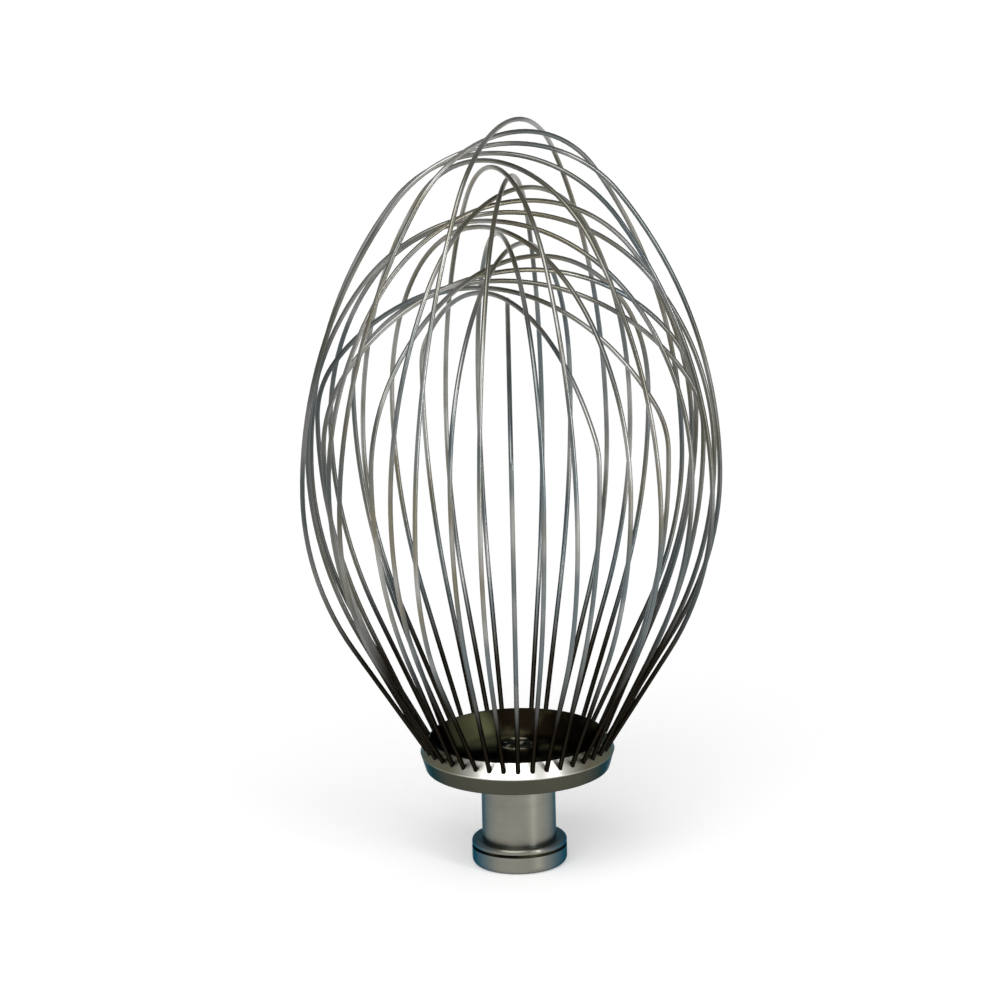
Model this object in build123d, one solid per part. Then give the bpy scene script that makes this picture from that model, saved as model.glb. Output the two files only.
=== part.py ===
from build123d import *
from math import atan2, cos, radians, sin
import os

# Wire whisk of a stand mixer, in millimetres. +Z runs up the whisk's axis, and the origin is the middle of
# the collar's end face: the whisk stands on its collar, with the balloon of wire on top.

# Collar at the free end of the hub: two rings with a groove between them
collar_radius = 22.6
lower_ring_height = 8.6
groove_width = 1.6
groove_depth = 1.3
upper_ring_height = 2.8
collar_foot_round = 3.2
collar_top_round = 2.0
ring_land = 0.5

# Shank and the blind bore that takes the mixer's shaft
shank_radius = 17.6
shank_length = 34.4
shank_top_round = 1.6
bore_radius = 11.0
bore_mouth_chamfer = 1.0
bore_end_wall = 10.0

# Bayonet slot for the cross pin of the mixer's shaft
slot_width = 8.6
slot_rise = 26.0
slot_turn = 40.0

# Dish: its outer side, the conical band that carries the wires, and the hollow with its boss
dish_edge_radius = 43.6
dish_edge_round = 1.0
dish_side_height = 8.7
dish_radius = 46.2
band_height = 6.8
band_top_radius = 41.9
lip_width = 1.5
dish_floor_radius = 34.0
dish_floor_thickness = 5.0
dish_floor_round = 3.0
boss_radius = 9.7
boss_height = 6.6
boss_edge_round = 0.8

# Wire and its seat: each end stands on the floor of a hole drilled into the band
wire_diameter = 2.3
hole_clearance = 0.1
seat_depth = 10.0

# Balloon: loops of wire that cross one another on the axis, each a step below the one before it and seated some
# holes further round the rim. The upper loops are the outer group, the lower ones the inner group.
loops_per_group = 10
first_hole_number = 7
hole_count_to_next_loop = 17
leg_length = 61.5
shoulder_angle = 36.4
crossing_gap = 2.55

# Height of the top loop's centre line, and the half width of the top and the lowest loop with its height
balloon_height = 367.1
top_half_width = 101.5
top_belly_height = 185.4
low_half_width = 90.8
low_belly_height = 225.0

collar_height = lower_ring_height + groove_width + upper_ring_height
dish_underside = collar_height + shank_length
dish_widest_height = dish_underside + dish_side_height
band_top_height = dish_widest_height + band_height
dish_floor_height = dish_underside + dish_floor_thickness
bore_depth = dish_floor_height - bore_end_wall
mouth_radius = (dish_radius + band_top_radius) / 2
mouth_height = (dish_widest_height + band_top_height) / 2
groups = ("outer", "inner")
loop_count = loops_per_group * len(groups)
loop_step = wire_diameter + crossing_gap
# Each loop has two ends, so its two holes lie half a turn apart and all the holes are evenly spaced
foot_pitch = 180 / loop_count


def turned_body():
    """The hub as it comes off the lathe: one half section, turned round the axis."""
    groove_floor_radius = collar_radius - groove_depth
    groove_top = lower_ring_height + groove_width
    boss_top = dish_floor_height + boss_height
    outline = [
        ((bore_radius + bore_mouth_chamfer, 0), 0),
        ((collar_radius, 0), min(collar_foot_round, lower_ring_height - ring_land)),
        ((collar_radius, lower_ring_height), 0),
        ((groove_floor_radius, lower_ring_height), 0),
        ((groove_floor_radius, groove_top), 0),
        ((collar_radius, groove_top), 0),
        ((collar_radius, collar_height), min(collar_top_round, upper_ring_height - ring_land)),
        ((shank_radius, collar_height), 0),
        ((shank_radius, dish_underside), shank_top_round),
        ((dish_edge_radius, dish_underside), dish_edge_round),
        ((dish_radius, dish_widest_height), 0),
        ((band_top_radius, band_top_height), 0),
        ((band_top_radius - lip_width, band_top_height), 0),
        ((dish_floor_radius, dish_floor_height), dish_floor_round),
        ((boss_radius, dish_floor_height), boss_edge_round),
        ((boss_radius, boss_top), boss_edge_round),
        ((0, boss_top), 0),
        ((0, bore_depth), 0),
        ((bore_radius, bore_depth), 0),
        ((bore_radius, bore_mouth_chamfer), 0),
    ]
    points = [point for point, _ in outline]
    rounds = [corner_round for _, corner_round in outline]
    half_section = make_face(FilletPolyline(*points, radius=rounds, close=True))
    return revolve(Plane.XZ * half_section, Axis.Z)


def bayonet_slot():
    """Cutter for the L-shaped slot: straight in from the collar's end, then a part turn round the shank."""
    reach = 2 * collar_radius
    entry = Pos(0, reach / 2, slot_rise / 2) * Box(slot_width, reach, slot_rise)
    round_end = Pos(0, reach / 2, slot_rise) * Rot(90, 0, 0) * Cylinder(slot_width / 2, reach)
    leg_section = Pos(reach / 2, slot_rise) * Rectangle(reach, slot_width)
    leg = Rot(0, 0, 90) * revolve(Plane.XZ * leg_section, Axis.Z, slot_turn)
    return entry + round_end + leg + Rot(0, 0, slot_turn) * round_end


def loop_path(number):
    """Centre line of one loop across X: leg, belly bend, side and crown, then the same again mirrored.

    number counts the loops from the top one down.
    """
    share = number / (loop_count - 1)

    # Leg and belly: a straight leg out of the rim, then an arc that ends upright at the loop's widest point
    width = top_half_width + (low_half_width - top_half_width) * share
    belly = top_belly_height + (low_belly_height - top_belly_height) * share
    reach = width - mouth_radius
    climb = belly - mouth_height
    belly_round = (reach**2 + climb**2 - leg_length**2) / (2 * reach)
    leg_angle = atan2(reach - belly_round, climb) + atan2(belly_round, leg_length)
    leg_way = Vector(sin(leg_angle), 0, cos(leg_angle))
    mouth = Vector(mouth_radius, 0, mouth_height)
    foot = mouth - leg_way * seat_depth
    leg_end = mouth + leg_way * leg_length

    # Arch: a side arc and a crown arc that share a tangent at the shoulder, level at the top
    rise = balloon_height - loop_step * number - belly
    shoulder = radians(shoulder_angle)
    side_round = rise * cos(shoulder) - width * (1 - sin(shoulder))
    side_round /= cos(shoulder) + sin(shoulder) - 1

    def on_side(angle, corner_round):
        return Vector(width - corner_round * (1 - cos(angle)), 0, belly + corner_round * sin(angle))

    bend_middle = on_side(-leg_angle / 2, belly_round)
    widest = on_side(0, side_round)
    half = [foot, leg_end, bend_middle, widest, on_side(shoulder / 2, side_round), on_side(shoulder, side_round)]
    top = Vector(0, 0, belly + rise)
    other = [Vector(-point.X, point.Y, point.Z) for point in half]
    return Wire(
        [
            Edge.make_line(half[0], half[1]),
            Edge.make_three_point_arc(half[1], half[2], half[3]),
            Edge.make_three_point_arc(half[3], half[4], half[5]),
            Edge.make_three_point_arc(half[5], top, other[5]),
            Edge.make_three_point_arc(other[5], other[4], other[3]),
            Edge.make_three_point_arc(other[3], other[2], other[1]),
            Edge.make_line(other[1], other[0]),
        ]
    )


def loop_solid(path):
    """One length of round wire along its centre line."""
    section = Plane(origin=path @ 0, z_dir=path % 0) * Circle(wire_diameter / 2)
    return sweep(section, path)


def seat_holes(path):
    """Cutters for the two holes that hold a loop's ends."""
    radius = wire_diameter / 2 + hole_clearance
    ends = [(path @ 0, path % 0), (path @ 1, (path % 1) * -1)]
    return [
        Plane(origin=point, z_dir=way) * Pos(0, 0, seat_depth) * Cylinder(radius, 2 * seat_depth)
        for point, way in ends
    ]


hub = turned_body() - bayonet_slot()
pieces = {}
for number in range(loop_count):
    turn = foot_pitch * (first_hole_number + hole_count_to_next_loop * number)
    path = Rot(0, 0, turn) * loop_path(number)
    group = groups[number // loops_per_group]
    pieces[f"{group}_loop_{number % loops_per_group + 1:02d}"] = loop_solid(path)
    hub -= seat_holes(path)
pieces["hub"] = hub

os.makedirs("parts", exist_ok=True)
for name, piece in pieces.items():
    export_step(piece, f"parts/{name}.step")
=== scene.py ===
from math import cos, radians, sin

import bmesh
import bpy
from mathutils import Matrix, Vector


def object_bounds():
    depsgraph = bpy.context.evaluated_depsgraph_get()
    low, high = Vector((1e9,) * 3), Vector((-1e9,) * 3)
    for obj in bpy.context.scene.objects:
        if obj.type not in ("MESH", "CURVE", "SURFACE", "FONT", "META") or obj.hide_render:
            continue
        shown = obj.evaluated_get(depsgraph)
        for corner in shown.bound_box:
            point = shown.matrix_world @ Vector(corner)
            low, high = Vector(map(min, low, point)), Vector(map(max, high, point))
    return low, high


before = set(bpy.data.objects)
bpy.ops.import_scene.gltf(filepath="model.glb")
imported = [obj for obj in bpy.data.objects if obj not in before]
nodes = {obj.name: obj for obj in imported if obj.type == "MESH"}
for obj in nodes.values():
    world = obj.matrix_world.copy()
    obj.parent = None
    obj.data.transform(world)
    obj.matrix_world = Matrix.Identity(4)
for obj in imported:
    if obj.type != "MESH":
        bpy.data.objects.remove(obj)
cad_low, cad_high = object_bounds()

# Hub: one piece of stainless steel turned on a lathe, with a collar, a plain shank and a shallow dish.
# The turned outside is satin, with fine rings round the axis, a painted highlight on the band round the
# wires, and painted shade on the dish's side and, bluish, on the flanks. Inside the dish and in the
# collar's groove the shade is painted dark brown, with spots of painted highlight on the boss.
groove_low = 0.0086
groove_high = 0.0102
groove_mouth_radius = 0.0225
collar_height = 0.0130
shank_top_height = 0.0474
rim_edge_height = 0.0561
dish_lip_radius = 0.0419
dish_floor_height = 0.0524
boss_highlight_radius = 0.0093
boss_top_height = 0.0590
edge_margin = 0.0001
ring_pitch = 0.0005
wide_ring_pitch = 0.004
ring_depth = 0.00001
smudge_size = 0.018
boss_highlight_size = 0.006
flank_shade_start = 0.009
flank_shade_end = 0.020
dish_side_shade_share = 0.9
band_highlight_reach = 0.018
band_shade_reach = 0.034
dish_pale_patch_place = (-0.020, 0.026, 0.058)
dish_pale_patch_reach = 0.017
dish_pale_patch_core = 0.0068
steel_colour = (0.215, 0.210, 0.178, 1.0)
steel_pale_colour = (0.30, 0.29, 0.245, 1.0)
steel_grazing_tint = (0.25, 0.38, 0.46, 1.0)
# A painted highlight on the band, and painted shade on its flanks
band_highlight_colour = (0.88, 0.86, 0.80, 1.0)
band_flank_shade_colour = (0.24, 0.23, 0.16, 1.0)
# Painted shade on the dish's outer side
dish_side_shade_colour = (0.055, 0.053, 0.037, 1.0)
# Painted shade, bluish, on the flanks of the shank and the collar
flank_shade_colour = (0.050, 0.110, 0.150, 1.0)
# Painted shade in the dish's hollow and the collar's groove, with paler patches in it
recess_shade_colour = (0.010, 0.007, 0.004, 1.0)
recess_shade_pale_colour = (0.075, 0.070, 0.036, 1.0)
dish_pale_patch_colour = (0.150, 0.150, 0.080, 1.0)
# A painted highlight in spots on the boss
boss_highlight_colour = (0.50, 0.44, 0.36, 1.0)


def new_metal(name):
    """A metal with its node tree, its shader, its Object coordinates and their X, Y and Z."""
    metal = bpy.data.materials.new(name)
    metal.use_nodes = True
    tree = metal.node_tree
    shader = tree.nodes["Principled BSDF"]
    shader.inputs["Metallic"].default_value = 1.0
    place = tree.nodes.new("ShaderNodeTexCoord").outputs["Object"]
    parts = tree.nodes.new("ShaderNodeSeparateXYZ")
    tree.links.new(place, parts.inputs["Vector"])
    return metal, tree, shader, place, parts.outputs


def value_of(tree, operation, first, second):
    """The result of a Math node on two sockets or numbers."""
    node = tree.nodes.new("ShaderNodeMath")
    node.operation = operation
    for socket, given in zip(node.inputs, (first, second)):
        if isinstance(given, float):
            socket.default_value = given
        else:
            tree.links.new(given, socket)
    return node.outputs["Value"]


def product_of(tree, first, *others):
    """The product of two or more sockets or numbers."""
    for other in others:
        first = value_of(tree, "MULTIPLY", first, other)
    return first


def share_of(tree, given, start, end):
    """0 at start, 1 at end, with a smooth change between them."""
    node = tree.nodes.new("ShaderNodeMapRange")
    node.interpolation_type = "SMOOTHSTEP"
    node.inputs["From Min"].default_value = start
    node.inputs["From Max"].default_value = end
    tree.links.new(given, node.inputs["Value"])
    return node.outputs["Result"]


def above(tree, given, edge, fade):
    """1 from the edge up, and 0 from a fade's width below it down."""
    return share_of(tree, given, edge - fade, edge)


def below(tree, given, edge, fade):
    """0 from the edge up, and 1 from a fade's width below it down."""
    return share_of(tree, given, edge, edge - fade)


def level_of(tree, share, low, high):
    """A number that runs from low to high with a share of 0 to 1."""
    node = tree.nodes.new("ShaderNodeMapRange")
    node.inputs["To Min"].default_value = low
    node.inputs["To Max"].default_value = high
    tree.links.new(share, node.inputs["Value"])
    return node.outputs["Result"]


def between(tree, share, first, second):
    """A colour between two colours or sockets."""
    node = tree.nodes.new("ShaderNodeMix")
    node.data_type = "RGBA"
    tree.links.new(share, node.inputs["Factor"])
    for socket, given in zip((node.inputs[6], node.inputs[7]), (first, second)):
        if isinstance(given, tuple):
            socket.default_value = given
        else:
            tree.links.new(given, socket)
    return node.outputs[2]


def noise_of(tree, size, detail, vector=None, distance=None):
    """Noise with features of about the given size, in space or along one distance."""
    node = tree.nodes.new("ShaderNodeTexNoise")
    node.inputs["Scale"].default_value = 1 / size
    node.inputs["Detail"].default_value = detail
    if distance is not None:
        node.noise_dimensions = "1D"
        tree.links.new(distance, node.inputs["W"])
    else:
        tree.links.new(vector, node.inputs["Vector"])
    return node.outputs["Fac"]


def bumped(tree, shader, height, depth, strength):
    """Gives the shader a fine relief."""
    node = tree.nodes.new("ShaderNodeBump")
    node.inputs["Strength"].default_value = strength
    node.inputs["Distance"].default_value = depth
    tree.links.new(height, node.inputs["Height"])
    tree.links.new(node.outputs["Normal"], shader.inputs["Normal"])


turned_steel, tree, shader, place, parts = new_metal("turned_steel")
height = parts["Z"]
from_middle = value_of(tree, "ABSOLUTE", parts["X"], 0.0)
round_way = tree.nodes.new("ShaderNodeCombineXYZ")
tree.links.new(product_of(tree, parts["Y"], -1.0), round_way.inputs["X"])
tree.links.new(parts["X"], round_way.inputs["Y"])
from_axis = tree.nodes.new("ShaderNodeVectorMath")
from_axis.operation = "LENGTH"
tree.links.new(round_way.outputs["Vector"], from_axis.inputs[0])
radius = from_axis.outputs["Value"]

# Turning marks: rings that follow the cut, along the axis on the sides and outwards on the flats
cut = value_of(tree, "ADD", radius, height)
ring = noise_of(tree, ring_pitch, detail=2.0, distance=cut)
wide_ring = noise_of(tree, wide_ring_pitch, detail=1.0, distance=cut)
smudge = noise_of(tree, smudge_size, detail=3.0, vector=place)
bumped(tree, shader, ring, ring_depth, strength=0.5)
shader.inputs["Specular Tint"].default_value = steel_grazing_tint
shader.inputs["Anisotropic"].default_value = 0.55
shader.inputs["Anisotropic Rotation"].default_value = 0.25
tree.links.new(round_way.outputs["Vector"], shader.inputs["Tangent"])

# Bare steel: pale and dull rings, with painted shade, bluish, on both flanks of the shank and more of it on
# the collar
shade = between(tree, level_of(tree, wide_ring, low=0.0, high=0.6), steel_colour, steel_pale_colour)
shade = between(tree, share_of(tree, smudge, start=0.35, end=0.75), shade, steel_colour)
in_flank_shade = share_of(tree, from_middle, flank_shade_start, flank_shade_end)
collar_shade_level = level_of(tree, below(tree, height, collar_height, fade=0.001), low=0.55, high=0.9)
under_dish = below(tree, height, shank_top_height, fade=0.004)
shade = between(tree, product_of(tree, in_flank_shade, collar_shade_level, under_dish), shade, flank_shade_colour)

# Dish outside: its side painted dark as shade, and above its edge the band, a painted highlight bright in
# front and behind, with painted shade on the flanks
dish_side_shade = product_of(
    tree,
    above(tree, height, shank_top_height, fade=0.0006),
    below(tree, height, rim_edge_height, fade=0.0012),
    dish_side_shade_share,
)
shade = between(tree, dish_side_shade, shade, dish_side_shade_colour)
on_band = product_of(
    tree,
    above(tree, radius, dish_lip_radius, fade=0.0002),
    above(tree, height, rim_edge_height - edge_margin, fade=0.0006),
)
# The band is a painted highlight, bright in front and behind, with painted shade on its flanks
band_flank_shading = share_of(tree, from_middle, band_highlight_reach, band_shade_reach)
shade = between(tree, on_band, shade, between(tree, band_flank_shading, band_highlight_colour, band_flank_shade_colour))

# Painted shade: dark brown inside the dish and in the groove, with one paler patch in the dish and spots of
# painted highlight on the boss
in_dish = product_of(
    tree,
    below(tree, radius, dish_lip_radius - edge_margin, fade=0.0004),
    above(tree, height, dish_floor_height - 2 * edge_margin, fade=0.001),
)
in_groove = product_of(
    tree,
    above(tree, height, groove_low + edge_margin, fade=2 * edge_margin),
    below(tree, height, groove_high + edge_margin, fade=2 * edge_margin),
    below(tree, radius, groove_mouth_radius, fade=0.0003),
)
shaded_recess = value_of(tree, "MAXIMUM", in_dish, in_groove)
recess_shade = between(tree, share_of(tree, smudge, start=0.45, end=0.7), recess_shade_colour, recess_shade_pale_colour)
from_patch = tree.nodes.new("ShaderNodeVectorMath")
from_patch.operation = "DISTANCE"
from_patch.inputs[1].default_value = dish_pale_patch_place
tree.links.new(place, from_patch.inputs[0])
in_patch = share_of(tree, from_patch.outputs["Value"], dish_pale_patch_reach, dish_pale_patch_core)
recess_shade = between(tree, in_patch, recess_shade, dish_pale_patch_colour)
# Spots of painted highlight on the boss's top
boss_highlight_noise = noise_of(tree, boss_highlight_size, detail=1.0, vector=place)
boss_highlight_spots = product_of(
    tree,
    below(tree, radius, boss_highlight_radius, fade=0.0008),
    above(tree, height, boss_top_height - edge_margin, fade=0.0005),
    share_of(tree, boss_highlight_noise, start=0.50, end=0.60),
)
recess_shade = between(tree, boss_highlight_spots, recess_shade, boss_highlight_colour)
tree.links.new(between(tree, shaded_recess, shade, recess_shade), shader.inputs["Base Color"])
steel_roughness = level_of(tree, smudge, low=0.26, high=0.40)
recess_roughness = level_of(tree, shaded_recess, low=0.0, high=0.22)
tree.links.new(value_of(tree, "ADD", steel_roughness, recess_roughness), shader.inputs["Roughness"])

nodes["hub"].data.materials.clear()
nodes["hub"].data.materials.append(turned_steel)

# Wire loops: lengths of round stainless wire, drawn through a die and bent to tall arches that cross on the
# axis, their ends held in holes in the hub's rim. The drawn skin is blue to brown from tempering, with fine
# lines and paler rubbed lengths, and painted shade darkens it on the flanks and, dark brown, near the rim.
balloon_radius = 0.1
draw_line_width = 0.0006
draw_line_length = 0.03
draw_line_depth = 0.00001
rubbed_length = 0.045
temper_length = 0.09
wire_flank_shade_start = 0.060
wire_flank_shade_end = 0.092
wire_flank_shade_share = 0.6
wire_foot_shade_height = 0.076
wire_unshaded_height = 0.122
wire_foot_shade_slope = 0.35
wire_blue_colour = (0.134, 0.158, 0.166, 1.0)
wire_brown_colour = (0.188, 0.174, 0.130, 1.0)
wire_rubbed_colour = (0.40, 0.40, 0.39, 1.0)
# Painted shade on the wires' flanks
wire_flank_shade_colour = (0.045, 0.047, 0.042, 1.0)
wire_grazing_tint = (1.0, 1.0, 1.0, 1.0)
# Painted shade at the wires' feet near the rim
wire_foot_shade_colour = (0.014, 0.012, 0.009, 1.0)
wire_foot_shade_grazing_tint = (0.30, 0.27, 0.22, 1.0)

drawn_wire, tree, shader, place, parts = new_metal("drawn_wire")
from_middle = value_of(tree, "ABSOLUTE", parts["X"], 0.0)

# Draw lines: noise stretched along the loops, which stand in planes through the axis
around = value_of(tree, "ARCTAN2", parts["Y"], parts["X"])
along = tree.nodes.new("ShaderNodeCombineXYZ")
tree.links.new(product_of(tree, around, balloon_radius), along.inputs["X"])
tree.links.new(product_of(tree, parts["Z"], draw_line_width / draw_line_length), along.inputs["Z"])
lines = noise_of(tree, draw_line_width, detail=2.0, vector=along.outputs["Vector"])
tree.links.new(level_of(tree, lines, low=0.2, high=0.38), shader.inputs["Roughness"])
bumped(tree, shader, lines, draw_line_depth, strength=0.4)

# Colours of the skin, then painted shade on the flanks, and painted shade at the feet near the rim, which
# climbs higher on the flanks
temper = noise_of(tree, temper_length, detail=1.0, vector=place)
shade = between(tree, share_of(tree, temper, start=0.40, end=0.60), wire_blue_colour, wire_brown_colour)
rubbed = share_of(tree, noise_of(tree, rubbed_length, detail=2.0, vector=place), start=0.42, end=0.68)
rubbed = product_of(tree, rubbed, level_of(tree, lines, low=0.6, high=1.1))
shade = between(tree, rubbed, shade, wire_rubbed_colour)
in_flank_shade = share_of(tree, from_middle, wire_flank_shade_start, wire_flank_shade_end)
shade = between(tree, product_of(tree, in_flank_shade, wire_flank_shade_share), shade, wire_flank_shade_colour)
foot_level = value_of(tree, "SUBTRACT", parts["Z"], product_of(tree, from_middle, wire_foot_shade_slope))
foot_shade = share_of(tree, foot_level, wire_unshaded_height, wire_foot_shade_height)
tree.links.new(between(tree, foot_shade, shade, wire_foot_shade_colour), shader.inputs["Base Color"])
grazing_tint = between(tree, foot_shade, wire_grazing_tint, wire_foot_shade_grazing_tint)
tree.links.new(grazing_tint, shader.inputs["Specular Tint"])

for name in nodes:
    if name != "hub":
        nodes[name].data.materials.clear()
        nodes[name].data.materials.append(drawn_wire)

# Floor: a large sheet of plain white board that the whisk stands on. Seen directly or in the metal it glows
# just enough to read as white, and it still takes the whisk's soft shadow.
floor_half = 12.0
floor_colour = (0.90, 0.90, 0.90, 1.0)
floor_glow_colour = (1.0, 1.0, 1.0, 1.0)
floor_glow = 0.27
floor_mesh = bpy.data.meshes.new("floor")
sheet = bmesh.new()
bmesh.ops.create_grid(sheet, x_segments=1, y_segments=1, size=floor_half)
bmesh.ops.translate(sheet, vec=(0, 0, cad_low.z), verts=sheet.verts)
sheet.to_mesh(floor_mesh)
sheet.free()
floor = bpy.data.objects.new("floor", floor_mesh)
bpy.context.scene.collection.objects.link(floor)
board = bpy.data.materials.new("white_board")
board.use_nodes = True
tree = board.node_tree
shader = tree.nodes["Principled BSDF"]
shader.inputs["Base Color"].default_value = floor_colour
shader.inputs["Roughness"].default_value = 1.0
shader.inputs["Specular IOR Level"].default_value = 0.0
shader.inputs["Emission Color"].default_value = floor_glow_colour
ray = tree.nodes.new("ShaderNodeLightPath")
seen = value_of(tree, "MAXIMUM", ray.outputs["Is Camera Ray"], ray.outputs["Is Glossy Ray"])
seen = value_of(tree, "MAXIMUM", seen, ray.outputs["Is Transmission Ray"])
tree.links.new(product_of(tree, seen, floor_glow), shader.inputs["Emission Strength"])
floor_mesh.materials.append(board)

# Light: a pale surround, a broad soft key from the upper left in front, and a soft strip on the right that
# lays a streak down the shank.
surround_colour = (1.0, 1.0, 1.0, 1.0)
surround_level = 0.42
key_strength = 1.7
key_spread = radians(50)
key_turn = radians(-16)
key_height = radians(47)
strip_place = (0.75, -0.78, 0.35)
strip_size = (0.16, 0.9)
strip_power = 5.0
surround = bpy.data.worlds.new("surround")
bpy.context.scene.world = surround
surround.use_nodes = True
sky = surround.node_tree.nodes["Background"]
sky.inputs["Color"].default_value = surround_colour
sky.inputs["Strength"].default_value = surround_level
key = bpy.data.lights.new("key", "SUN")
key.energy = key_strength
key.angle = key_spread
key_object = bpy.data.objects.new("key", key)
key_from = Vector((sin(key_turn) * cos(key_height), -cos(key_turn) * cos(key_height), sin(key_height)))
key_object.rotation_euler = key_from.to_track_quat("Z", "Y").to_euler()
bpy.context.scene.collection.objects.link(key_object)
strip = bpy.data.lights.new("strip", "AREA")
strip.shape = "RECTANGLE"
strip.size, strip.size_y = strip_size
strip.energy = strip_power
strip_object = bpy.data.objects.new("strip", strip)
strip_object.location = strip_place
strip_from = Vector(strip_place) - Vector((0, 0, strip_place[2]))
strip_object.rotation_euler = strip_from.to_track_quat("Z", "Y").to_euler()
bpy.context.scene.collection.objects.link(strip_object)

# Camera: far off, looking down a little, with the whisk leaning slightly to the left in the frame.
base_in_frame = (520.0, 860.8)
frame_side = 1000
metres_per_pixel = 0.0004765
camera_elevation = radians(17.8)
camera_roll = radians(1.3)
camera_distance = 12.0
sensor = 36.0
look = Vector((0.0, cos(camera_elevation), -sin(camera_elevation)))
level = Vector((1.0, 0.0, 0.0))
upright = level.cross(look)
right = level * cos(camera_roll) - upright * sin(camera_roll)
up = level * sin(camera_roll) + upright * cos(camera_roll)
base_right = (base_in_frame[0] - frame_side / 2) * metres_per_pixel
base_up = (frame_side / 2 - base_in_frame[1]) * metres_per_pixel
lens = bpy.data.cameras.new("camera")
lens.sensor_width = sensor
lens.lens = sensor * camera_distance / (frame_side * metres_per_pixel)
camera = bpy.data.objects.new("camera", lens)
stand = -look * camera_distance - right * base_right - up * base_up
camera.matrix_world = Matrix.Translation(stand) @ Matrix((right, up, -look)).transposed().to_4x4()
bpy.context.scene.collection.objects.link(camera)
bpy.context.scene.camera = camera
bpy.context.scene.view_settings.view_transform = "Standard"
